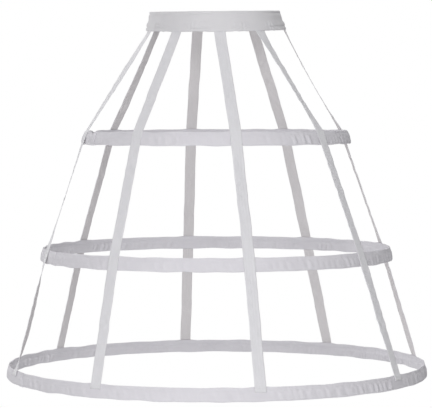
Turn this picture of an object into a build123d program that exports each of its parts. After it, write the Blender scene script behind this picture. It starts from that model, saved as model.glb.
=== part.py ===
from build123d import *
from math import atan, ceil, cos, degrees, radians, sin
import os

# A crinoline cage: a folded waistband, eight tapes and three spring hoops in cloth casings.
# Millimetres. +Z is up, the origin is the middle of the waist and the wearer's front faces -Y.
# Azimuths are degrees round from the front, towards +X.

# Waistband: one strip folded double, fold on top, worn a little lower at the front
waist_top_radius = 112.0
waist_flare = 7.0
waistband_height = 33.0
waistband_ply_thickness = 0.9
waistband_slot = 2.0
waist_dip = 2.3

# Back closing: the end of the band laps over its beginning, which is stepped inwards
lap_start = 160.0
lap_end = 176.0
lap_step_end = 186.0
lap_gap = 2.8

# Hooks and bars inside the lap
hook_azimuth = 168.0
hook_spacing = 16.0
hook_height = 8.0
hook_plate_length = 10.0
hook_tongue_length = 4.5
hook_thickness = 0.5
hook_play = 0.15
bar_thickness = 0.4
bar_width = 2.5
bar_foot = 2.0

# Hoops: outer radius of each casing, and the even drop from the waist to each
hoop_drop = 200.0
top_hoop_radius = 232.0
middle_hoop_radius = 303.0
bottom_hoop_radius = 362.0

# Spring steel: a flat strip whose ends butt inside a short sleeve
steel_width = 11.0
steel_thickness = 0.8
steel_end_gap = 0.6
joiner_length = 30.0
joiner_wall = 0.4
joiner_play = 0.15
joiner_azimuth = 294.0

# Casing: one strip folded round the steel and sewn shut along a flat margin on top, its ends butted
casing_cloth_thickness = 0.8
casing_play = 0.2
casing_slit = 0.2
casing_height = 22.5
casing_margin = 4.5
casing_end_gap = 0.4

# Lean of each casing towards the axis, below and above its stitching, in degrees
top_hoop_leans = (12.0, 24.0)
middle_hoop_leans = (8.0, 18.0)
bottom_hoop_leans = (6.0, 16.0)

# Tapes: tucked up into the waistband, and bent a little below where they leave it
tape_width = 19.0
tape_thickness = 0.8
tape_clearance = 0.2
tape_tuck_length = 24.0
tape_exit_length = 1.2
tape_facet_length = 45.0
left_tape_slack_depth = 7.0
slack_height_share = 0.28

# Azimuth of each tape at the waist and at the top, middle and bottom hoops
tape_azimuths = {
    "front_tape": (3.0, 8.0, 10.0, 11.0),
    "front_right_tape": (38.0, 49.5, 52.5, 55.5),
    "right_side_tape": (96.0, 106.0, 105.0, 103.5),
    "back_right_tape": (146.0, 147.5, 146.5, 145.0),
    "back_tape": (196.0, 191.5, 190.0, 189.5),
    "back_left_tape": (238.5, 234.0, 233.5, 233.0),
    "left_side_tape": (288.0, 284.0, 288.0, 290.0),
    "front_left_tape": (326.5, 325.5, 326.5, 327.5),
}

# Folds in cloth and metal are made in a few flat facets
fold_facets = 4

# Sizes that follow from those above
full_turn = 360.0
half_turn = full_turn / 2
band_half = waistband_slot / 2 + waistband_ply_thickness
band_lean = degrees(atan(waist_flare / waistband_height))
band_radius = waist_top_radius + waist_flare - band_half
band_foot = -waistband_height / 2
lap_drop = (2 * band_half + lap_gap) / cos(radians(band_lean))
waist_tilt = Rot(X=waist_dip)

joiner_thickness = steel_thickness + 2 * (joiner_play + joiner_wall)
joiner_height = steel_width + 2 * (joiner_play + joiner_wall)
fold_radius = joiner_thickness / 2 + casing_play + casing_cloth_thickness
casing_wall = joiner_height + casing_play

hoops = {
    "top": (top_hoop_radius, -hoop_drop, top_hoop_leans),
    "middle": (middle_hoop_radius, -2 * hoop_drop, middle_hoop_leans),
    "bottom": (bottom_hoop_radius, -3 * hoop_drop, bottom_hoop_leans),
}


# Helpers

def outward(azimuth):
    """Level direction from the axis towards an azimuth."""
    return Vector(sin(radians(azimuth)), -cos(radians(azimuth)), 0)


def along(azimuth):
    """Level direction round the axis at an azimuth."""
    return Vector(cos(radians(azimuth)), sin(radians(azimuth)), 0)


def section_plane(azimuth, radius, height, lean):
    """Upright plane through the axis. Its x points out and its y up, tipped inwards by the lean."""
    out = outward(azimuth) * cos(radians(lean)) + Vector(0, 0, sin(radians(lean)))
    return Plane(outward(azimuth) * radius + Vector(0, 0, height), x_dir=out, z_dir=-along(azimuth))


def beside(points, distance):
    """Corners of a line of points moved to its left by a distance."""
    steps = [(b - a).normalized() for a, b in zip(points, points[1:])]
    normals = [Vector(-step.Y, step.X) for step in steps]
    pairs = zip(normals[:1] + normals, normals + normals[-1:])
    return [p + (m + n) * (distance / (1 + m.dot(n))) for p, (m, n) in zip(points, pairs)]


def strip(points, thickness):
    """Section of a flat strip that follows some points, with its thickness on their left."""
    return make_face(Polyline(*points, *reversed(beside(points, thickness)), close=True))


def fold_points(start, end, ahead):
    """Points round a half-round fold in flat facets, between the ends of two lines."""
    middle = (start + end) / 2
    side = (start - end) / 2
    turns = [radians(half_turn * facet / fold_facets) for facet in range(1, fold_facets)]
    return [middle + side * cos(turn) + ahead * (side.length * sin(turn)) for turn in turns]


def folded_strip(down, up, thickness):
    """Section of a strip that follows one line of points, a fold and then another line."""
    ahead = (down[-1] - down[-2]).normalized()
    down_inside = beside(down, thickness)
    up_inside = beside(up, thickness)
    outside = [*down, *fold_points(down[-1], up[0], ahead), *up]
    inside = [*down_inside, *fold_points(down_inside[-1], up_inside[0], ahead), *up_inside]
    return make_face(Polyline(*outside, *reversed(inside), close=True))


def ring(section, plane, sweep):
    """Part of a ring: a section carried round the axis."""
    return revolve(plane * section, Axis.Z, sweep)


# Waistband

def waistband_section():
    inner = [Vector(-band_half, 0), Vector(-band_half, waistband_height - band_half)]
    outer = [Vector(band_half, waistband_height - band_half), Vector(band_half, 0)]
    return folded_strip(inner, outer, -waistband_ply_thickness)


def band_plane(azimuth, drop=0):
    return section_plane(azimuth, band_radius - drop, band_foot, band_lean)


def make_waistband():
    section = waistband_section()
    under_end = ring(section, band_plane(lap_start, lap_drop), lap_end - lap_start)
    step = loft([band_plane(lap_end, lap_drop) * section, band_plane(lap_step_end) * section], ruled=True)
    round_waist = ring(section, band_plane(lap_step_end), full_turn + lap_end - lap_step_end)
    return waist_tilt * (round_waist + step + under_end)


# Hooks and bars. Their frames lie on the inside of the lap's outer layer: x round the waist, y inwards

def lap_frames():
    up_band = -sin(radians(band_lean)) * outward(hook_azimuth) + Vector(0, 0, cos(radians(band_lean)))
    layer = band_plane(hook_azimuth)
    for side in (-1, 1):
        height = waistband_height / 2 + side * hook_spacing / 2
        origin = layer.from_local_coords((-band_half, height, 0))
        yield waist_tilt * Plane(origin, x_dir=along(hook_azimuth), z_dir=up_band).location


hook_seat = hook_play + hook_plate_length ** 2 / (2 * waist_top_radius)
bar_outside = hook_seat + hook_thickness + hook_play
tongue_outside = bar_outside + bar_thickness + hook_play
bar_length = hook_height + 2 * (hook_play + bar_thickness + bar_foot)


def make_hooks():
    bend_start = hook_tongue_length
    plate = [Vector(bend_start - hook_plate_length, hook_seat), Vector(bend_start, hook_seat)]
    tongue_inside = tongue_outside + hook_thickness
    tongue = [Vector(bend_start, tongue_inside), Vector(0, tongue_inside)]
    section = folded_strip(plate, tongue, hook_thickness)
    shape = extrude(section, hook_height / 2, both=True)
    return Compound([frame * shape for frame in lap_frames()])


def make_bars():
    bridge = hook_height / 2 + hook_play + bar_thickness
    foot_inside = lap_gap - hook_play
    bar_inside = bar_outside + bar_thickness
    outline = [
        Vector(-bar_length / 2, foot_inside),
        Vector(-bridge + bar_thickness, foot_inside),
        Vector(-bridge + bar_thickness, bar_inside),
        Vector(bridge - bar_thickness, bar_inside),
        Vector(bridge - bar_thickness, foot_inside),
        Vector(bar_length / 2, foot_inside),
    ]
    section = strip(outline, -bar_thickness)
    upright = Plane(Vector(hook_tongue_length - hook_play, 0, 0), x_dir=(0, 0, 1), z_dir=(-1, 0, 0))
    shape = extrude(upright * section, bar_width)
    return Compound([frame * shape for frame in lap_frames()])


# Hoops. A casing's own axes start at the middle of its bottom fold: x out, y up

def casing_plane(hoop, azimuth):
    radius, height, (lean, _) = hoops[hoop]
    fold_height = height - casing_height / 2 + fold_radius
    return section_plane(azimuth, radius - fold_radius, fold_height, lean)


def casing_corners(hoop):
    """Outer corners of a casing's section: foot of the wall, its top and the top of the sewn margin."""
    _, _, (lean, margin_lean) = hoops[hoop]
    turn = radians(margin_lean - lean)
    rise = casing_height / cos(radians(lean)) - fold_radius - casing_wall
    wall_foot = Vector(fold_radius, 0)
    wall_top = Vector(fold_radius, casing_wall)
    margin_top = wall_top + Vector(-sin(turn), cos(turn)) * (rise / cos(turn))
    return wall_foot, wall_top, margin_top


def open_ring(hoop, section, end_gap):
    """A hoop that goes round once, with a gap between its ends at the joiner."""
    gap = degrees(end_gap / hoops[hoop][0])
    return ring(section, casing_plane(hoop, joiner_azimuth + gap / 2), full_turn - gap)


def make_casing(hoop):
    wall_foot, wall_top, margin_top = casing_corners(hoop)
    climb = (margin_top - wall_top).normalized()
    inwards = Vector(-climb.Y, climb.X) * (2 * casing_cloth_thickness + casing_slit)
    back_top = margin_top + inwards
    down = [
        back_top,
        back_top - climb * casing_margin,
        Vector(-fold_radius, casing_wall),
        Vector(-fold_radius, 0),
    ]
    section = folded_strip(down, [wall_foot, wall_top, margin_top], casing_cloth_thickness)
    return open_ring(hoop, section, casing_end_gap)


steel_middle = joiner_height / 2


def make_steel(hoop):
    section = Pos(0, steel_middle) * Rectangle(steel_thickness, steel_width)
    return open_ring(hoop, section, steel_end_gap)


def make_joiner(hoop):
    arc = degrees(joiner_length / hoops[hoop][0])
    hole_thickness = steel_thickness + 2 * joiner_play
    hole_height = steel_width + 2 * joiner_play
    sleeve = Rectangle(joiner_thickness, joiner_height) - Rectangle(hole_thickness, hole_height)
    return ring(Pos(0, steel_middle) * sleeve, casing_plane(hoop, joiner_azimuth - arc / 2), arc)


# Tapes. Each runs down from between the waistband's plies and over the outside of the casings

tape_offset = tape_clearance + tape_thickness / 2
tape_bow = tape_width ** 2 / (8 * waist_top_radius)


def waist_points(azimuth):
    """Top end of a tape in the band's slot, and where it leaves the band."""
    plane = band_plane(azimuth)
    tuck = plane.from_local_coords((-tape_bow / 2, tape_tuck_length, 0))
    mouth = plane.from_local_coords((-tape_bow / 2, -tape_exit_length, 0))
    return [(waist_tilt * Pos(point)).position for point in (tuck, mouth)]


def hoop_points(hoop, azimuth):
    """Where a tape passes a casing: over the margin's edge and off the top of the wall."""
    plane = casing_plane(hoop, azimuth)
    _, wall_top, margin_top = casing_corners(hoop)
    climb = (margin_top - wall_top).normalized()
    margin_out = Vector(climb.Y, -climb.X)
    wall_out = Vector(1, 0)
    shoulder_out = (margin_out + wall_out) / (1 + margin_out.dot(wall_out))
    corners = ((margin_top, margin_out), (wall_top, shoulder_out))
    return [plane.from_local_coords(corner + out * tape_offset) for corner, out in corners]


def tape_route(azimuths, slack):
    """Points down the middle of a tape, each with its azimuth."""
    waist, top, middle, bottom = azimuths
    route = [(point, waist) for point in waist_points(waist)]
    route += [(point, top) for point in hoop_points("top", top)]
    route += [(point, middle) for point in hoop_points("middle", middle)]
    hem = [(point, bottom) for point in hoop_points("bottom", bottom)]
    if slack:
        upper = route[-1][0]
        lower = hem[0][0]
        sag_azimuth = bottom + (middle - bottom) * slack_height_share
        sag = lower + (upper - lower) * slack_height_share - outward(sag_azimuth) * slack
        route.append((sag, sag_azimuth))
    return route + hem


def in_short_lengths(route):
    """The same route with more points on its long spans, so that a tape twists evenly along them."""
    points = route[:1]
    for (start, start_azimuth), (end, end_azimuth) in zip(route, route[1:]):
        lengths = ceil((end - start).length / tape_facet_length)
        for length in range(1, lengths + 1):
            share = length / lengths
            azimuth = start_azimuth + (end_azimuth - start_azimuth) * share
            points.append((start + (end - start) * share, azimuth))
    return points


def make_tape(azimuths, slack=0):
    route = in_short_lengths(tape_route(azimuths, slack))
    points = [point for point, _ in route]
    steps = [(b - a).normalized() for a, b in zip(points, points[1:])]
    ways = zip(steps[:1] + steps, steps + steps[-1:])
    sections = []
    for (point, azimuth), (before, after) in zip(route, ways):
        plane = Plane(point, x_dir=along(azimuth), z_dir=before + after)
        sections.append(plane * Rectangle(tape_width, tape_thickness))
    return loft(sections, ruled=True)


# Whole part

def make_parts():
    parts = {
        "waistband": make_waistband(),
        "waist_hooks": make_hooks(),
        "waist_bars": make_bars(),
    }
    for name, azimuths in tape_azimuths.items():
        slack = left_tape_slack_depth if name == "left_side_tape" else 0
        parts[name] = make_tape(azimuths, slack)
    for hoop in hoops:
        parts[f"{hoop}_hoop_casing"] = make_casing(hoop)
        parts[f"{hoop}_hoop_steel"] = make_steel(hoop)
        parts[f"{hoop}_hoop_joiner"] = make_joiner(hoop)
    return parts


os.makedirs("parts", exist_ok=True)
for node, shape in make_parts().items():
    export_step(shape, f"parts/{node}.step")
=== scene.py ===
from math import atan, ceil, cos, degrees, pi, radians, sin

import bpy
import numpy as np
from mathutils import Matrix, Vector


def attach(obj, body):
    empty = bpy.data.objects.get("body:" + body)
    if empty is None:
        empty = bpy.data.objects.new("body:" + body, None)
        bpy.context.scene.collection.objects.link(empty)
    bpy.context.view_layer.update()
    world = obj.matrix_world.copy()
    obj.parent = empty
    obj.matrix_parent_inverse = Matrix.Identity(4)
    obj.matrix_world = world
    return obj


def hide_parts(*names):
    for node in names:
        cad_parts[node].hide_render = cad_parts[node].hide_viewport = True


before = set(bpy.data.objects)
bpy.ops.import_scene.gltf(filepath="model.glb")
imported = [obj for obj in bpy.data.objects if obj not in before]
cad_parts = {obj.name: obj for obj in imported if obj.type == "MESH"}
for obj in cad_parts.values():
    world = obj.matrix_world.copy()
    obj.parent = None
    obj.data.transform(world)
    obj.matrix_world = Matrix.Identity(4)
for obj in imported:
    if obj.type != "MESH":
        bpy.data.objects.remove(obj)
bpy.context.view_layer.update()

# A crinoline cage in white cotton. Metres and degrees. +Z is up, the origin is the middle of the waist
# and the front faces -Y. Azimuths go round from the front, towards +X.

# Waistband: outer radii, which differ a little from side to side, and the back lap
band_top_radius = 0.1118
band_top_shift = -0.0021
band_bottom_radius = 0.1205
band_hollow = 0.0009
band_height = 0.033
band_foot = -0.0155
band_lean = 12.0
band_dip = 2.3
band_tilt = 0.4
band_front_drop = 0.0016
band_ply = 0.0009
band_slot = 0.0021
band_closed_gap = 0.0009
band_fold_share = 0.5
band_step = 0.002
band_stitch_heights = (0.0055, 0.0285)
band_groove = 0.0006
band_inner_groove = 0.0003
groove_reach = 0.0014
pucker_reach = 0.0045
lap_start = 160.0
lap_end = 176.0
lap_step_end = 186.0
lap_drop = 0.0047
lap_flat = 0.003
lap_flat_reach = 22.0

# Hoops: radius of the casing, drop from the waist, and lean of its wall and of its sewn margin
hoops = {
    "top": (0.232, 0.2, 12.0, 24.0),
    "middle": (0.303, 0.4, 8.0, 18.0),
    "bottom": (0.362, 0.6, 6.0, 16.0),
}
casing_height = 0.0225
casing_wall = 0.0123
casing_margin = 0.0045
casing_cloth = 0.0008
casing_slit = 0.0002
casing_lap = 0.016
casing_lap_spread = 0.0009
casing_lap_lead_share = 0.5
casing_groove = 0.0002
casing_step = 0.0024
fold_radius = 0.00195
fold_slope_share = 0.7
fold_control_count = 3
wall_shares = (0.15, 0.5, 0.85)
seam_azimuth = 294.0

# Tapes: size, and azimuth at the waist and at the top, middle and bottom hoops
tape_width = 0.019
tape_thickness = 0.0008
tape_clearance = 0.0002
tape_offset = tape_clearance + tape_thickness / 2
tape_tuck = 0.022
tape_exit = 0.0012
tape_turned_end = 0.009
tape_step = 0.002
tape_bend_steps = 3
twist_bend_steps = 6
tape_azimuths = {
    "front_tape": (3.0, 8.0, 10.0, 11.0),
    "front_right_tape": (38.0, 49.5, 52.5, 55.5),
    "right_side_tape": (96.0, 106.0, 105.0, 103.5),
    "back_right_tape": (146.0, 147.5, 146.5, 145.0),
    "back_tape": (196.0, 191.5, 190.0, 189.5),
    "back_left_tape": (240.0, 234.0, 233.5, 233.0),
    "left_side_tape": (288.0, 284.0, 288.0, 290.0),
    "front_left_tape": (326.5, 325.5, 326.5, 327.5),
}

# Turn of each tape about its own length, at some shares of the way down its three spans
twist_shares = (0.0, 0.1, 0.3, 0.5, 0.75, 0.92, 1.0)
no_twist = (0.0,) * len(twist_shares)
tape_twists = {
    "front_tape": (
        (0.0, -4.0, -8.0, -8.0, -4.0, 0.0, 0.0),
        (0.0, -8.0, -12.0, -12.0, -10.0, -6.0, 0.0),
        (0.0, -6.0, -8.0, -8.0, -8.0, -6.0, 0.0),
    ),
    "front_right_tape": (
        (0.0, -14.0, -18.0, -19.0, -19.0, -11.0, 0.0),
        (0.0, -4.0, -5.0, -5.0, -6.0, -4.0, 0.0),
        (0.0, 4.0, -5.0, 3.0, -4.0, -2.0, 0.0),
    ),
    "right_side_tape": (
        (0.0, 6.0, 8.0, 12.0, 12.0, 7.0, 0.0),
        (0.0, 7.0, 9.0, 9.0, 9.0, 7.0, 0.0),
        (0.0, 0.0, -3.0, -5.0, -8.0, -8.0, 0.0),
    ),
    "back_right_tape": (
        (0.0, -6.0, -9.0, -9.0, -8.0, -4.0, 0.0),
        (0.0, -6.0, -8.0, -8.0, -8.0, -4.0, 0.0),
        (0.0, -6.0, -9.0, -9.0, -8.0, -4.0, 0.0),
    ),
    "back_tape": (no_twist, no_twist, no_twist),
    "back_left_tape": (
        (0.0, -2.0, -1.0, 1.0, 6.0, 4.0, 0.0),
        (0.0, -2.0, -3.0, -3.0, -4.0, -3.0, 0.0),
        (0.0, -1.0, -3.0, -3.0, -3.0, -2.0, 0.0),
    ),
    "left_side_tape": (
        (0.0, -2.0, -8.0, -8.0, -3.0, 0.0, 0.0),
        (0.0, 4.0, 9.0, 12.0, 12.0, 5.0, 0.0),
        (0.0, 10.0, 26.0, 31.0, 32.0, 18.0, 0.0),
    ),
    "front_left_tape": ((0.0, -2.0, -3.5, -3.5, -2.0, -1.0, 0.0), no_twist, no_twist),
}

# Slack spans: how far each hangs in towards the axis, and how low down its deepest place is
slack_spans = {
    "back_left_tape": (0, 0.002, 1.2),
    "right_side_tape": (0, 0.0034, 1.0),
    "left_side_tape": (2, 0.003, 1.6),
}
no_slack = (None, 0.0, 1.0)

# Stitches
thread_radius = 0.00022
stitch_pitch = 0.0026
stitch_ring_shares = (0.05, 0.22, 0.68, 0.85)
stitch_lift_shares = (-0.9, 0.5, 0.5, -0.9)
stitch_inset = 0.0012
crossing_insets = (0.002, 0.007)
tape_row_insets = (0.002, 0.0065)

# Unevenness of the cloth: height and wavelength of each kind of wave
margin_sway = (0.0008, 0.1)
margin_edge = (0.0004, 0.08)
margin_pucker = (0.0002, 0.011)
wall_crease = (0.0015, 0.015)
wall_bulge = (0.0003, 0.07)
fold_droop = (0.0005, 0.08)
band_ripple = (0.0004, 0.05)
band_pucker = (0.0007, 0.009)
band_edge = (0.0003, 0.02)
tape_wander = (0.0004, 0.09)
tape_ripple = (0.00035, 0.03)
wave_terms = 7
wave_spread_shares = (0.6, 1.7)
crease_slant = 0.25
inner_crease_share = 1.5
crease_room = 0.0005
joiner_room = 0.0001
joiner_reach = 0.022
crossing_reach = 0.012
crossing_lift = 0.001

# Crumpled stretches of the casings: azimuth, reach either way in degrees, and dip of the top edge
least_crumple_share = 0.3
crumples = {
    "top": (
        (294.0, 4.0, 0.0045),
        (252.0, 4.0, 0.004),
        (40.0, 6.0, 0.001),
        (66.0, 9.0, 0.0),
        (217.0, 8.0, 0.001),
    ),
    "middle": (
        (292.0, 7.0, 0.0),
        (50.0, 6.0, 0.0),
        (76.0, 9.0, 0.0),
        (138.0, 12.0, 0.0),
        (222.0, 12.0, 0.0),
    ),
    "bottom": (
        (46.0, 16.0, 0.0),
        (74.0, 9.0, 0.0),
        (300.0, 12.0, 0.0),
        (120.0, 20.0, 0.0),
        (245.0, 18.0, 0.0),
    ),
}

# Section spacing, and the inset of the first row of faces from a cloth edge
section_step = 0.0012
edge_inset = 0.0002

# Weave and finish of the cloth
thread_pitch = 0.00055
twill_pitch = 0.0011
herringbone_width = 0.0095
weave_depth = 0.00012
twill_depth = 0.00014
weave_bump_share = 0.6
column_rise_share = 12.0
slub_scale = 900.0
slub_detail = 2.0
shade_scale = 45.0
shade_detail = 5.0
cloth_roughness = 0.92
cloth_specular = 0.2
sheen_roughness = 0.5
plain_sheen = 0.12
twill_sheen = 0.5
reverse_sheen = 0.0

# Finish of the metal
metal_shade_scale = 120.0
metal_shade_detail = 6.0
metal_line_scale = 2500.0
metal_line_detail = 3.0
metal_line_depth = 0.00005
metal_bump_share = 0.2
steel_roughness = 0.35
brass_roughness = 0.4
tin_roughness = 0.3

# The two shades between which each colour drifts, as they are seen
band_shades = ((0.845, 0.84, 0.855), (0.875, 0.87, 0.88))
casing_shades = ((0.84, 0.831, 0.855), (0.873, 0.866, 0.886))
tape_shades = ((0.872, 0.869, 0.886), (0.902, 0.899, 0.912))
# Painted shade: the tapes' reverse, on their inner faces, gets a darker, warmer copy of the tape colour in
# place of the shade and warm bounce light there
reverse_painted_shades = ((0.848, 0.836, 0.844), (0.878, 0.865, 0.872))
thread_shades = ((0.86, 0.86, 0.87), (0.89, 0.89, 0.895))
steel_shades = ((0.52, 0.52, 0.54), (0.62, 0.62, 0.63))
brass_shades = ((0.66, 0.54, 0.3), (0.75, 0.63, 0.4))
tin_shades = ((0.6, 0.6, 0.62), (0.7, 0.7, 0.71))
floor_shades = ((0.9, 0.9, 0.9), (0.92, 0.92, 0.92))

# Curve between a colour as it is seen and a linear one
curve_low_limit = 0.04045
curve_low_slope = 12.92
curve_offset = 0.055
curve_power = 2.4

# Floor
floor_height = -1.02
floor_radius = 2.4
floor_sides = 96
floor_shade_scale = 3.0
floor_shade_detail = 2.0
floor_roughness = 0.9

# Camera
camera_place = (-0.0006, -3.8, -0.1482)
camera_pitch = 2.52
camera_roll = -0.16
camera_focus_pixels = 2203.0
photo_width_pixels = 432.0

# Light: place, size and power of each lamp
white = (1.0, 1.0, 1.0, 1.0)
world_light = 0.26
seen_white = 1.0
lamp_target = (0.0, 0.0, -0.35)
lamps = {
    "key_lamp": ((-0.3, -3.15, 0.0), 1.5, 53.0),
    "top_lamp": ((0.3, -0.28, 2.8), 1.5, 25.0),
    "left_lamp": ((-2.2, 2.1, 0.6), 1.5, 48.0),
    "back_lamp": ((0.9, 2.6, 1.3), 1.5, 22.0),
}

full_turn = 360.0
upward = np.array([0.0, 0.0, 1.0])
random = np.random.default_rng(1862)


# Helpers

def outward(azimuths):
    """Level directions from the axis towards some azimuths."""
    angles = np.radians(azimuths)
    return np.stack([np.sin(angles), -np.cos(angles), np.zeros_like(angles)], axis=-1)


def along(azimuths):
    """Level directions round the axis at some azimuths."""
    angles = np.radians(azimuths)
    return np.stack([np.cos(angles), np.sin(angles), np.zeros_like(angles)], axis=-1)


def unit(vectors):
    return vectors / np.linalg.norm(vectors, axis=-1, keepdims=True)


def run_length(points):
    """Distance along a line of points, at each of them."""
    steps = np.linalg.norm(np.diff(points, axis=0), axis=1)
    return np.concatenate([[0.0], np.cumsum(steps)])


def waves(positions, kind):
    """An uneven wave along some positions."""
    height, wavelength = kind
    counts = random.uniform(*wave_spread_shares, wave_terms) / wavelength
    phases = random.uniform(0.0, 1.0, wave_terms)
    turns = positions[..., None] * counts + phases
    return height * np.sin(2 * pi * turns).sum(axis=-1) / np.sqrt(wave_terms)


def turned_from(azimuths, place):
    """How far round some azimuths are from another, either way."""
    return (azimuths - place + full_turn / 2) % full_turn - full_turn / 2


def near_tapes(azimuths, radius, level):
    """How near each azimuth is to a tape at the waist or a hoop, from 0 to 1."""
    nearness = np.zeros_like(azimuths)
    for places in tape_azimuths.values():
        away = turned_from(azimuths, places[level])
        distance = np.maximum(np.abs(np.radians(away)) * radius - tape_width / 2, 0.0)
        nearness = np.maximum(nearness, np.exp(-(distance / crossing_reach) ** 2))
    return nearness


def spline_weights(knots, samples):
    """Weights that carry values at some knots to a smooth curve through them."""
    values = np.eye(len(knots))
    slopes = np.gradient(values, knots, axis=0)
    span = np.clip(np.searchsorted(knots, samples, side="right") - 1, 0, len(knots) - 2)
    width = (knots[span + 1] - knots[span])[:, None]
    share = (samples - knots[span])[:, None] / width
    near = (1 + 2 * share) * (1 - share) ** 2
    bends = share * (1 - share) ** 2 * slopes[span] + share ** 2 * (share - 1) * slopes[span + 1]
    return near * values[span] + (1 - near) * values[span + 1] + width * bends


def section_samples(knots):
    """Positions along a section: each knot, more between them, and one close to each end."""
    places = [np.array([edge_inset, knots[-1] - edge_inset])]
    for start, end in zip(knots, knots[1:]):
        places.append(np.linspace(start, end, ceil((end - start) / section_step) + 1))
    return np.unique(np.concatenate(places))


def add_piece(name, corners, faces, places, material):
    """A smooth-shaded piece that rides on the part."""
    mesh = bpy.data.meshes.new(name)
    mesh.from_pydata(corners.tolist(), [], faces.tolist())
    mesh.polygons.foreach_set("use_smooth", np.ones(len(faces), dtype=bool))
    layer = mesh.uv_layers.new(name="cloth")
    layer.data.foreach_set("uv", places[faces.ravel()].ravel())
    mesh.materials.append(material)
    piece = bpy.data.objects.new(name, mesh)
    bpy.context.scene.collection.objects.link(piece)
    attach(piece, "root")
    return piece


def surface_normals(middle):
    """Directions out of a grid of points, on the side of its first way crossed with its second."""
    return unit(np.cross(np.gradient(middle, axis=0), np.gradient(middle, axis=1)))


def cloth_strip(name, middle, thickness, material):
    """A strip of cloth with real thickness about a grid of points: along it, then across it."""
    columns, rows, _ = middle.shape
    lift = surface_normals(middle) * (thickness / 2)
    lengthwise = run_length(middle[:, rows // 2])
    crosswise = run_length(middle[columns // 2])
    grid = np.stack(np.meshgrid(lengthwise, crosswise, indexing="ij"), axis=-1).reshape(-1, 2)
    corners = np.concatenate([(middle + lift).reshape(-1, 3), (middle - lift).reshape(-1, 3)])
    front = np.arange(columns * rows).reshape(columns, rows)
    back = front + columns * rows
    sides = [
        (front[:-1, :-1], front[1:, :-1], front[1:, 1:], front[:-1, 1:]),
        (back[:-1, :-1], back[:-1, 1:], back[1:, 1:], back[1:, :-1]),
        (back[:-1, 0], back[1:, 0], front[1:, 0], front[:-1, 0]),
        (front[:-1, -1], front[1:, -1], back[1:, -1], back[:-1, -1]),
        (front[0, :-1], front[0, 1:], back[0, 1:], back[0, :-1]),
        (back[-1, :-1], back[-1, 1:], front[-1, 1:], front[-1, :-1]),
    ]
    faces = np.concatenate([np.stack(side, axis=-1).reshape(-1, 4) for side in sides])
    return add_piece(name, corners, faces, np.concatenate([grid, grid]), material)


def add_painted_shade_reverse(piece, face_count, material):
    """Another material on the reverse of a strip of cloth, whose faces follow those of its front; it
    carries the painted shade of the inner faces.
    """
    piece.data.materials.append(material)
    reversed_faces = np.arange(len(piece.data.polygons)) // face_count == 1
    piece.data.polygons.foreach_set("material_index", reversed_faces.astype(np.int32))


def stitch_row(points, normals):
    """Corners and faces of a row of stitches along a line of points on cloth."""
    distance = run_length(points)
    count = int(distance[-1] / stitch_pitch)
    places = (np.arange(count)[:, None] + np.array(stitch_ring_shares)) * stitch_pitch
    middle = np.stack([np.interp(places, distance, points[:, i]) for i in range(3)], axis=-1)
    out = unit(np.stack([np.interp(places, distance, normals[:, i]) for i in range(3)], axis=-1))
    ahead = unit(middle[:, -1:] - middle[:, :1])
    side = np.cross(out, ahead)
    middle = middle + out * (thread_radius * np.array(stitch_lift_shares))[:, None]
    spokes = np.stack([out, side, -out, -side], axis=2)
    corners = middle[:, :, None] + spokes * thread_radius
    index = np.arange(corners[..., 0].size).reshape(corners.shape[:-1])
    turned = np.roll(index, -1, axis=2)
    walls = np.stack([index[:, :-1], turned[:, :-1], turned[:, 1:], index[:, 1:]], axis=-1)
    ends = np.stack([index[:, 0, ::-1], index[:, -1]], axis=1)
    return corners.reshape(-1, 3), np.concatenate([walls.reshape(-1, 4), ends.reshape(-1, 4)])


def row_at(samples, place):
    """Number of the sample nearest to a place."""
    return np.argmin(np.abs(samples - place))


def stitches_along(middle, row, thickness, columns=slice(None)):
    """Stitches along one row of a cloth's grid of points, on its outer face."""
    normals = surface_normals(middle)[columns, row]
    return stitch_row(middle[columns, row] + normals * thickness / 2, normals)


def add_stitches(name, rows):
    """One piece with all the stitches of some rows."""
    corners = []
    faces = []
    start = 0
    for row_corners, row_faces in rows:
        corners.append(row_corners)
        faces.append(row_faces + start)
        start += len(row_corners)
    corners = np.concatenate(corners)
    piece = add_piece(name, corners, np.concatenate(faces), corners[:, :2], thread_material)
    return piece


# Materials

def linear(shade):
    """A colour as it is seen, as the linear colour that a shader takes."""
    shares = np.array(shade)
    low = shares / curve_low_slope
    high = ((shares + curve_offset) / (1 + curve_offset)) ** curve_power
    return (*np.where(shares <= curve_low_limit, low, high).tolist(), 1.0)


def add_node(tree, kind, inputs, **settings):
    node = tree.nodes.new(kind)
    for name, value in settings.items():
        setattr(node, name, value)
    for key, value in inputs.items():
        if isinstance(value, bpy.types.NodeSocket):
            tree.links.new(value, node.inputs[key])
        else:
            node.inputs[key].default_value = value
    return node


def calculate(tree, operation, first, second=0.0):
    return add_node(tree, "ShaderNodeMath", {0: first, 1: second}, operation=operation).outputs[0]


def new_material(name):
    material = bpy.data.materials.new(name)
    material.use_nodes = True
    shader = material.node_tree.nodes["Principled BSDF"]
    return material, material.node_tree, shader


def cloth_places(tree):
    """Distance along and across a cloth piece, and both as a vector."""
    places = add_node(tree, "ShaderNodeUVMap", {}, uv_map="cloth").outputs["UV"]
    parts = add_node(tree, "ShaderNodeSeparateXYZ", {0: places})
    return parts.outputs["X"], parts.outputs["Y"], places


def uneven_height(tree, places, scale, detail):
    """A height that drifts from 0 to 1."""
    noise = add_node(tree, "ShaderNodeTexNoise", {"Vector": places, "Scale": scale, "Detail": detail})
    return noise.outputs["Fac"]


def add_bump(tree, shader, height, share, depth):
    """A fine relief on a shader."""
    bump = add_node(tree, "ShaderNodeBump", {"Strength": share, "Distance": depth, "Height": height})
    tree.links.new(bump.outputs["Normal"], shader.inputs["Normal"])


def uneven_colour(tree, places, shades, scale, detail):
    """A colour that drifts between two shades."""
    noise = uneven_height(tree, places, scale, detail)
    mix = add_node(
        tree,
        "ShaderNodeMix",
        {"Factor": noise, "A": linear(shades[0]), "B": linear(shades[1])},
        data_type="RGBA",
    )
    return mix.outputs["Result"]


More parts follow.
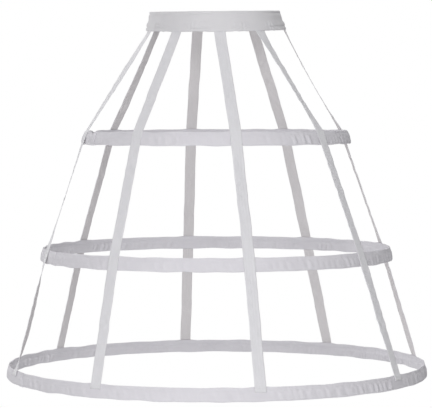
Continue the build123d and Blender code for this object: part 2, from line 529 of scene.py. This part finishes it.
def finish_cloth(tree, shader, places, height, depth, sheen, shades):
    """Colour, bump and soft sheen of a cotton cloth with a given weave height."""
    slubs = uneven_height(tree, places, slub_scale, slub_detail)
    woven = calculate(tree, "ADD", height, slubs)
    add_bump(tree, shader, woven, weave_bump_share, depth)
    colour = uneven_colour(tree, places, shades, shade_scale, shade_detail)
    tree.links.new(colour, shader.inputs["Base Color"])
    shader.inputs["Roughness"].default_value = cloth_roughness
    shader.inputs["Specular IOR Level"].default_value = cloth_specular
    shader.inputs["Sheen Weight"].default_value = sheen
    shader.inputs["Sheen Roughness"].default_value = sheen_roughness


def plain_cotton(name, shades):
    """Plain weave: threads that pass over and under one another."""
    material, tree, shader = new_material(name)
    length, width, places = cloth_places(tree)
    warp = calculate(tree, "SINE", calculate(tree, "MULTIPLY", length, pi / thread_pitch))
    weft = calculate(tree, "SINE", calculate(tree, "MULTIPLY", width, pi / thread_pitch))
    height = calculate(tree, "MULTIPLY", warp, weft)
    finish_cloth(tree, shader, places, height, weave_depth, plain_sheen, shades)
    return material


def herringbone_cotton(name, sheen, shades):
    """Herringbone twill: slanting ribs that change direction in bands across the tape."""
    material, tree, shader = new_material(name)
    length, width, places = cloth_places(tree)
    slant = calculate(tree, "PINGPONG", width, herringbone_width / 2)
    ribs = calculate(tree, "MULTIPLY", calculate(tree, "ADD", length, slant), 2 * pi / twill_pitch)
    column = calculate(tree, "PINGPONG", width, herringbone_width / 4)
    raised = calculate(tree, "MULTIPLY", column, column_rise_share / herringbone_width)
    height = calculate(tree, "ADD", calculate(tree, "SINE", ribs), raised)
    finish_cloth(tree, shader, places, height, twill_depth, sheen, shades)
    return material


def worn_metal(name, shades, roughness):
    """Drawn or pressed metal with fine lines and dull patches."""
    material, tree, shader = new_material(name)
    places = add_node(tree, "ShaderNodeTexCoord", {}).outputs["Object"]
    colour = uneven_colour(tree, places, shades, metal_shade_scale, metal_shade_detail)
    tree.links.new(colour, shader.inputs["Base Color"])
    lines = uneven_height(tree, places, metal_line_scale, metal_line_detail)
    add_bump(tree, shader, lines, metal_bump_share, metal_line_depth)
    shader.inputs["Metallic"].default_value = 1.0
    shader.inputs["Roughness"].default_value = roughness
    return material


band_material = plain_cotton("waistband_cotton", band_shades)
casing_material = plain_cotton("casing_cotton", casing_shades)
tape_material = herringbone_cotton("tape_cotton", twill_sheen, tape_shades)
# Painted shade: a darker, warmer copy of the tape cotton for the tapes' inner faces
tape_painted_shade_material = herringbone_cotton("tape_reverse_painted_shade", reverse_sheen, reverse_painted_shades)
thread_material = plain_cotton("sewing_thread", thread_shades)
steel_material = worn_metal("spring_steel", steel_shades, steel_roughness)
joiner_material = worn_metal("joiner_brass", brass_shades, brass_roughness)
hook_material = worn_metal("tinned_hooks", tin_shades, tin_roughness)


# Waistband

def settled(points):
    """Points of the waistband turned down a little at the front and up a little at its right."""
    dip = radians(band_dip)
    tilt = radians(band_tilt)
    dip_turn = np.array([[1.0, 0.0, 0.0], [0.0, cos(dip), -sin(dip)], [0.0, sin(dip), cos(dip)]])
    tilt_turn = np.array([[cos(tilt), 0.0, -sin(tilt)], [0.0, 1.0, 0.0], [sin(tilt), 0.0, cos(tilt)]])
    return points @ (dip_turn @ tilt_turn).T


def band_places(azimuths, rise, depth):
    """Points at some heights up the band, at a depth inside its outer face."""
    share = rise / band_height
    top = band_top_radius + band_top_shift * np.sin(np.radians(azimuths))
    radius = band_bottom_radius + (top - band_bottom_radius) * share
    radius = radius - band_hollow * np.sin(pi * np.clip(share, 0.0, 1.0))
    from_lap = (azimuths % full_turn - (lap_start + lap_end) / 2) / lap_flat_reach
    radius = radius - lap_flat * np.exp(-(from_lap ** 4))
    lean = radians(band_lean)
    height = band_foot + rise * cos(lean) - depth * sin(lean)
    points = outward(azimuths) * (radius - depth * cos(lean))[..., None] + upward * height[..., None]
    return settled(points)


def band_rises():
    """Heights of the section's corners up the outer ply: the edges, and close about each stitch row."""
    low, high = band_stitch_heights
    rows = [0.0, low - groove_reach, low, low + groove_reach, (low + high) / 2]
    rows += [high - groove_reach, high, high + groove_reach, band_height - band_ply]
    return np.array(rows)


def make_waistband():
    length = (full_turn + lap_end - lap_start) / full_turn * 2 * pi * band_bottom_radius
    azimuths = np.linspace(lap_start, full_turn + lap_end, ceil(length / band_step))
    places = np.radians(azimuths) * band_bottom_radius
    opening = near_tapes(azimuths, band_bottom_radius, 0)
    gap = band_closed_gap + (band_slot - band_closed_gap) * opening
    under = np.clip((lap_step_end - azimuths) / (lap_step_end - lap_end), 0.0, 1.0)
    under = lap_drop * (1 - np.cos(pi * under)) / 2
    outer = band_rises()
    rises = np.concatenate([outer, [band_height - band_ply / 2], outer[::-1]])
    plies = np.concatenate([np.zeros(len(outer)), [band_fold_share], np.ones(len(outer))])
    stitched = np.isin(rises, band_stitch_heights)
    depth = band_ply / 2 + plies * (band_ply + gap[:, None])
    closed = 1 - opening[:, None]
    puckered = np.exp(-((rises - min(band_stitch_heights)) / pucker_reach) ** 2) * ~stitched
    ripple = waves(places, band_ripple)[:, None] + waves(places, band_pucker)[:, None] * puckered
    groove = np.where(plies < 1, band_groove, -band_inner_groove) * stitched
    depth = depth + under[:, None] + (ripple + groove) * closed
    front = ((1 + np.cos(np.radians(azimuths))) / 2)[:, None] ** 2
    lowering = band_front_drop * front + waves(places, band_edge)[:, None] * closed
    rise = rises - lowering * (1 - rises / band_height)
    controls = band_places(azimuths[:, None], rise, depth)
    knots = run_length(controls[len(controls) // 2])
    samples = section_samples(knots)
    middle = np.einsum("kc,ncd->nkd", spline_weights(knots, samples), controls)
    piece = cloth_strip("waistband_folded", middle, band_ply, band_material)
    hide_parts("waistband")
    rows = [stitches_along(middle, row_at(samples, knots[i]), band_ply) for i in np.flatnonzero(stitched)]
    stitches = add_stitches("waistband_stitches", rows)


# Casings

def hoop_places(hoop, azimuths, out, rise):
    """Points of a hoop's section: out and up from the middle of its bottom fold, turned by its lean."""
    radius, drop, lean, _ = hoops[hoop]
    tip = radians(lean)
    level = radius - fold_radius + out * cos(tip) - rise * sin(tip)
    height = out * sin(tip) + rise * cos(tip) - drop - casing_height / 2 + fold_radius
    return outward(azimuths) * level[..., None] + upward * height[..., None]


def margin_places(hoop, rise, depth):
    """Out and up of points on a casing's margin, at a distance up it and a depth inside its outer face."""
    _, _, lean, margin_lean = hoops[hoop]
    turn = radians(margin_lean - lean)
    out = fold_radius - rise * sin(turn) - depth * cos(turn)
    up = casing_wall + rise * cos(turn) - depth * sin(turn)
    return out, up


def margin_length(hoop):
    _, _, lean, margin_lean = hoops[hoop]
    rise = casing_height / cos(radians(lean)) - fold_radius - casing_wall
    return rise / cos(radians(margin_lean - lean))


def crumpling(hoop, azimuths):
    """How crumpled a casing is at some azimuths, as a share, and how far its top edge dips there."""
    share = np.full_like(azimuths, least_crumple_share)
    dip = np.zeros_like(azimuths)
    for place, reach, depth in crumples[hoop]:
        nearness = np.exp(-(turned_from(azimuths, place) / reach) ** 2)
        share = np.maximum(share, nearness)
        dip = dip + depth * nearness ** 4
    return share, dip


def crease_heights(places, amount, room):
    """Heights of creases that cross a casing's wall on a slant, at its foot, middle and top."""
    rows = np.arange(len(wall_shares)) * casing_wall * crease_slant / len(wall_shares)
    heights = waves(places[:, None] + rows, wall_crease) * amount[:, None]
    return np.maximum(heights, -room[:, None]).T


def make_casing(hoop):
    radius = hoops[hoop][0]
    level = list(hoops).index(hoop) + 1
    overlap = degrees(casing_lap / radius)
    length = 2 * pi * radius + casing_lap
    azimuths = np.linspace(seam_azimuth, seam_azimuth + full_turn + overlap, ceil(length / casing_step))
    places = np.radians(azimuths) * radius
    from_joiner = np.abs(np.radians(turned_from(azimuths, seam_azimuth))) * radius
    room = np.where(from_joiner < joiner_reach, joiner_room, crease_room)
    tied = near_tapes(azimuths, radius, level)
    free = 1 - tied
    crumple, dip = crumpling(hoop, azimuths)
    top = margin_length(hoop)
    seam = top - casing_margin
    edge = top + (waves(places, margin_edge) - dip) * free + crossing_lift * tied ** 2
    half = seam + (edge - seam) / 2
    sway = waves(places, margin_sway) * free
    pucker = waves(places, margin_pucker) * free * (1 + crumple)
    bulge = np.abs(waves(places, wall_bulge)) * free
    droop = waves(places, fold_droop)
    outer_creases = crease_heights(places, crumple * free, room) + bulge
    inner_creases = crease_heights(places, crumple * free * inner_crease_share, room) + bulge
    ply = fold_radius - casing_cloth / 2
    slope = ply * fold_slope_share
    near = casing_cloth / 2
    far = near + casing_cloth + casing_slit
    controls = [
        margin_places(hoop, edge, near + sway),
        margin_places(hoop, half, near + sway / 2 + pucker),
        margin_places(hoop, seam + groove_reach, near + pucker),
        margin_places(hoop, seam, near + casing_groove + pucker / 2),
        margin_places(hoop, seam - groove_reach, near + pucker),
    ]
    for share, crease in zip(wall_shares[::-1], outer_creases[::-1]):
        controls.append((ply + crease, casing_wall * share))
    controls += [(slope, -slope - droop), (0.0, -ply - droop), (-slope, -slope - droop)]
    for share, crease in zip(wall_shares, inner_creases):
        controls.append((-ply - crease, casing_wall * share))
    controls += [
        margin_places(hoop, seam - groove_reach, far + pucker),
        margin_places(hoop, seam, far - casing_groove + pucker / 2),
        margin_places(hoop, seam + groove_reach, far + pucker),
        margin_places(hoop, half, far + sway / 2 + pucker),
        margin_places(hoop, edge, far + sway),
    ]
    out = np.stack([control[0] + np.zeros_like(places) for control in controls], axis=1)
    up = np.stack([control[1] + np.zeros_like(places) for control in controls], axis=1)

    # The end laps over the beginning, and is spread to go round it
    turned = np.linspace(-1.0, 1.0, len(controls))
    fold_reach = fold_control_count / len(controls)
    past_seam = (azimuths - seam_azimuth - full_turn) / overlap
    over = np.clip(past_seam + casing_lap_lead_share, 0.0, 1.0)[:, None]
    out = out - over * casing_lap_spread * np.clip(turned / fold_reach, -1.0, 1.0)
    up = up - over * casing_lap_spread * (np.abs(turned) < fold_reach)

    section = hoop_places(hoop, azimuths[:, None], out, up)
    knots = run_length(section[len(section) // 2])
    samples = section_samples(knots)
    middle = np.einsum("kc,ncd->nkd", spline_weights(knots, samples), section)
    piece = cloth_strip(f"{hoop}_hoop_folded_casing", middle, casing_cloth, casing_material)
    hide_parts(f"{hoop}_hoop_casing")
    rows = [
        stitches_along(middle, row_at(samples, casing_margin), casing_cloth),
        stitches_along(middle, row_at(samples, knots[-1] - casing_margin), casing_cloth),
    ]
    for crossings in tape_azimuths.values():
        beside = np.abs(np.radians(turned_from(azimuths, crossings[level]))) * radius
        columns = np.flatnonzero(beside < tape_width / 2 - stitch_inset)
        for inset in crossing_insets:
            rows.append(stitches_along(middle, row_at(samples, knots[-1] - inset), casing_cloth, columns))
    stitches = add_stitches(f"{hoop}_hoop_stitches", rows)


# Tapes

def waist_route(azimuth):
    """Top of a tape between the waistband's plies, and where it bends below the band."""
    rises = np.array([tape_tuck, -tape_exit])
    depth = np.full(2, band_ply + band_slot / 2)
    return band_places(np.full(2, azimuth), rises, depth)


def hoop_route(hoop, azimuth):
    """Where a tape passes a casing: over the margin's edge and off the top of the wall."""
    edge_out, edge_up = margin_places(hoop, margin_length(hoop), -tape_offset)
    out = np.array([edge_out, fold_radius + tape_offset])
    up = np.array([edge_up, casing_wall])
    return hoop_places(hoop, np.full(2, azimuth), out, up)


def tape_route(azimuths):
    """Points down the middle of a tape, and the azimuth at each."""
    waist, *crossings = azimuths
    points = [waist_route(waist)]
    for hoop, azimuth in zip(hoops, crossings):
        points.append(hoop_route(hoop, azimuth))
    return np.concatenate(points), np.repeat(azimuths, 2)


def softened(values, steps):
    """Values along a tape with their sudden bends rounded off."""
    width = 2 * steps + 1
    padded = np.pad(values, ((steps, steps), (0, 0)), mode="reflect", reflect_type="odd")
    total = np.cumsum(np.concatenate([np.zeros_like(padded[:1]), padded]), axis=0)
    return (total[width:] - total[:-width]) / width


def span_shares(distance, corners):
    """How far down each of a tape's three spans some distances are, from 0 to 1."""
    for start, end in zip(corners[1::2], corners[2::2]):
        yield np.clip((distance - start) / (end - start), 0.0, 1.0)


def make_tape(name, azimuths):
    route, turns = tape_route(azimuths)
    corners = run_length(route)
    length = corners[-1]
    distance = np.linspace(0.0, length, ceil(length / tape_step) + 1)
    points = np.stack([np.interp(distance, corners, route[:, i]) for i in range(3)], axis=1)
    facing = np.interp(distance, corners, turns)
    twist = np.zeros_like(distance)
    loose = np.zeros_like(distance)
    for span, share in enumerate(span_shares(distance, corners)):
        twist = twist + np.interp(share, twist_shares, tape_twists[name][span])
        loose = loose + np.sin(pi * share)
        slack_span, depth, lowness = slack_spans.get(name, no_slack)
        if span == slack_span:
            points = points - outward(facing) * (depth * np.sin(pi * share ** lowness))[:, None]
    points = softened(points, tape_bend_steps)
    facing = softened(facing[:, None], tape_bend_steps)[:, 0]
    twist = np.radians(softened(twist[:, None], twist_bend_steps))
    ahead = unit(np.gradient(points, axis=0))
    across = along(facing)
    across = unit(across - ahead * (across * ahead).sum(axis=1, keepdims=True))
    out = np.cross(ahead, across)
    untwisted = across
    across = across * np.cos(twist) + out * np.sin(twist)
    out = out * np.cos(twist) - untwisted * np.sin(twist)
    shares = np.linspace(-0.5, 0.5, ceil(tape_width / section_step) + 1)
    wander = waves(distance, tape_wander) * loose
    ripple = waves(distance, tape_ripple) * loose
    turned_end = np.clip((distance - length + tape_turned_end) / tape_step, 0.0, 1.0)
    middle = points[:, None] + across[:, None] * (shares[:, None] * tape_width + wander[:, None, None])
    lift = ripple[:, None] * np.cos(2 * pi * shares) + tape_thickness / 2 * turned_end[:, None]
    middle = middle + out[:, None] * lift[..., None]
    thickness = tape_thickness * (1 + turned_end)[:, None, None]
    piece = cloth_strip(f"{name}_woven", middle, thickness, tape_material)
    # The tape's inner faces get the darker, warmer copy of its cotton: painted shade
    add_painted_shade_reverse(piece, (len(distance) - 1) * (len(shares) - 1), tape_painted_shade_material)
    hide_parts(name)
    sewn = np.swapaxes(middle, 0, 1)[::-1]
    rows = []
    for edge in corners[2::2]:
        for inset in tape_row_insets:
            row = row_at(distance, edge + inset)
            rows.append(stitches_along(sewn, row, thickness[row, 0, 0]))
    stitches = add_stitches(f"{name}_stitches", rows)


make_waistband()
for hoop_name in hoops:
    make_casing(hoop_name)
for tape_name, tape_turns in tape_azimuths.items():
    make_tape(tape_name, tape_turns)

node_metals = {
    "steel": steel_material,
    "joiner": joiner_material,
    "hooks": hook_material,
    "bars": hook_material,
}
for node_name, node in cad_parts.items():
    metal = node_metals.get(node_name.split("_")[-1])
    if metal:
        node.data.materials.clear()
        node.data.materials.append(metal)


# Floor, light and camera

def make_floor():
    turns = np.linspace(0.0, 2 * pi, floor_sides, endpoint=False)
    rim = outward(np.degrees(turns)) * floor_radius + upward * floor_height
    mesh = bpy.data.meshes.new("floor")
    mesh.from_pydata(rim.tolist(), [], [list(range(floor_sides))])
    material, tree, shader = new_material("floor_white")
    places = add_node(tree, "ShaderNodeTexCoord", {}).outputs["Object"]
    colour = uneven_colour(tree, places, floor_shades, floor_shade_scale, floor_shade_detail)
    tree.links.new(colour, shader.inputs["Base Color"])
    shader.inputs["Roughness"].default_value = floor_roughness
    mesh.materials.append(material)
    floor = bpy.data.objects.new("floor", mesh)
    bpy.context.scene.collection.objects.link(floor)


def make_world():
    """White where it is seen, and soft even light on the object."""
    world = bpy.data.worlds.new("studio")
    world.use_nodes = True
    bpy.context.scene.world = world
    tree = world.node_tree
    tree.nodes.clear()
    path = add_node(tree, "ShaderNodeLightPath", {})
    seen = calculate(tree, "MAXIMUM", path.outputs["Is Camera Ray"], path.outputs["Is Glossy Ray"])
    seen = calculate(tree, "MAXIMUM", seen, path.outputs["Is Transmission Ray"])
    light = add_node(tree, "ShaderNodeBackground", {"Color": white, "Strength": world_light})
    backdrop = add_node(tree, "ShaderNodeBackground", {"Color": white, "Strength": seen_white})
    mix = add_node(tree, "ShaderNodeMixShader", {0: seen, 1: light.outputs[0], 2: backdrop.outputs[0]})
    add_node(tree, "ShaderNodeOutputWorld", {"Surface": mix.outputs[0]})


def add_lamp(name, place, size, power):
    """A large soft lamp that points at the middle of the object."""
    data = bpy.data.lights.new(name, "AREA")
    data.size = size
    data.energy = power
    lamp = bpy.data.objects.new(name, data)
    lamp.location = place
    direction = Vector(lamp_target) - Vector(place)
    lamp.rotation_euler = direction.to_track_quat("-Z", "Y").to_euler()
    bpy.context.scene.collection.objects.link(lamp)


def make_camera():
    data = bpy.data.cameras.new("camera")
    data.sensor_fit = "HORIZONTAL"
    data.angle = 2 * atan(photo_width_pixels / 2 / camera_focus_pixels)
    camera = bpy.data.objects.new("camera", data)
    camera.location = camera_place
    camera.rotation_mode = "ZXY"
    camera.rotation_euler = (pi / 2 - radians(camera_pitch), 0.0, radians(camera_roll))
    bpy.context.scene.collection.objects.link(camera)
    bpy.context.scene.camera = camera


make_floor()
make_world()
for lamp_name, (lamp_place, lamp_size, lamp_power) in lamps.items():
    add_lamp(lamp_name, lamp_place, lamp_size, lamp_power)
make_camera()
bpy.context.scene.view_settings.view_transform = "Standard"
